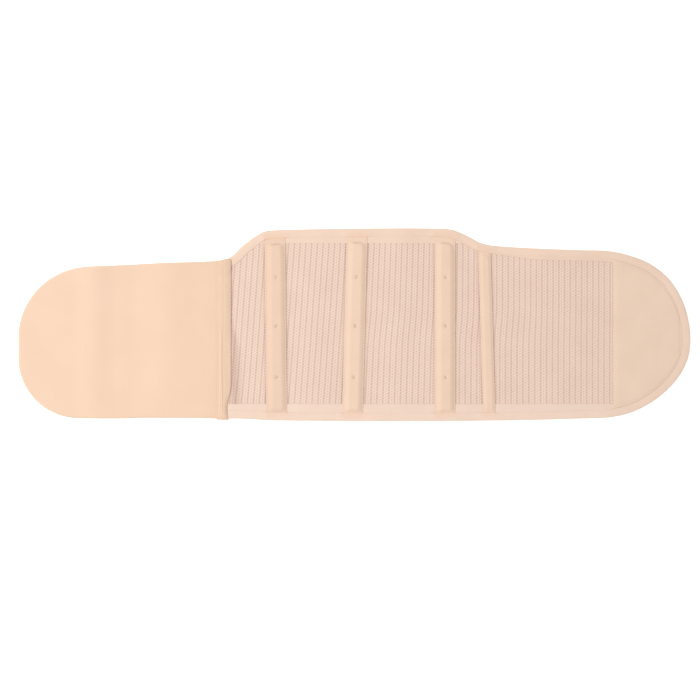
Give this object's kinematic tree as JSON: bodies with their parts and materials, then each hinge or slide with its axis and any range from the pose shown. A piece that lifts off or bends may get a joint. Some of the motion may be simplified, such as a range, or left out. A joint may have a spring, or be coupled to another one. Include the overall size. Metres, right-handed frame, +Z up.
{
  "type": "abdominal binder",
  "caption": "Elastic net waist binder, opened out flat, with sewn stay channels, a smooth closure panel at one end and a rounded hook patch at the other.",
  "frame": {"origin": "middle of the outline, on the surface that the binder lies on", "axes": "+X along the binder to the hook end, +Y to the upper edge, +Z up through the cloth, out of the side that faces away from the wearer"},
  "size_m": [0.9, 0.26, 0.008],
  "materials": {
    "panel_fabric": "smooth brushed loop fabric",
    "tape_fabric": "plain woven tape",
    "elastic_net": "open elastic net",
    "binding_fabric": "folded knitted binding",
    "channel_fabric": "padded knitted channel",
    "hook_fabric": "fine hook fabric"
  },
  "bodies": {
    "root": {"closure_panel": "panel_fabric", "seam_tape": "tape_fabric", "net_body": "elastic_net", "edge_binding": "binding_fabric", "stay_channel_1": "channel_fabric", "stay_channel_2": "channel_fabric", "stay_channel_3": "channel_fabric", "stay_channel_4": "channel_fabric", "hook_patch": "hook_fabric"}
  },
  "joints": []
}
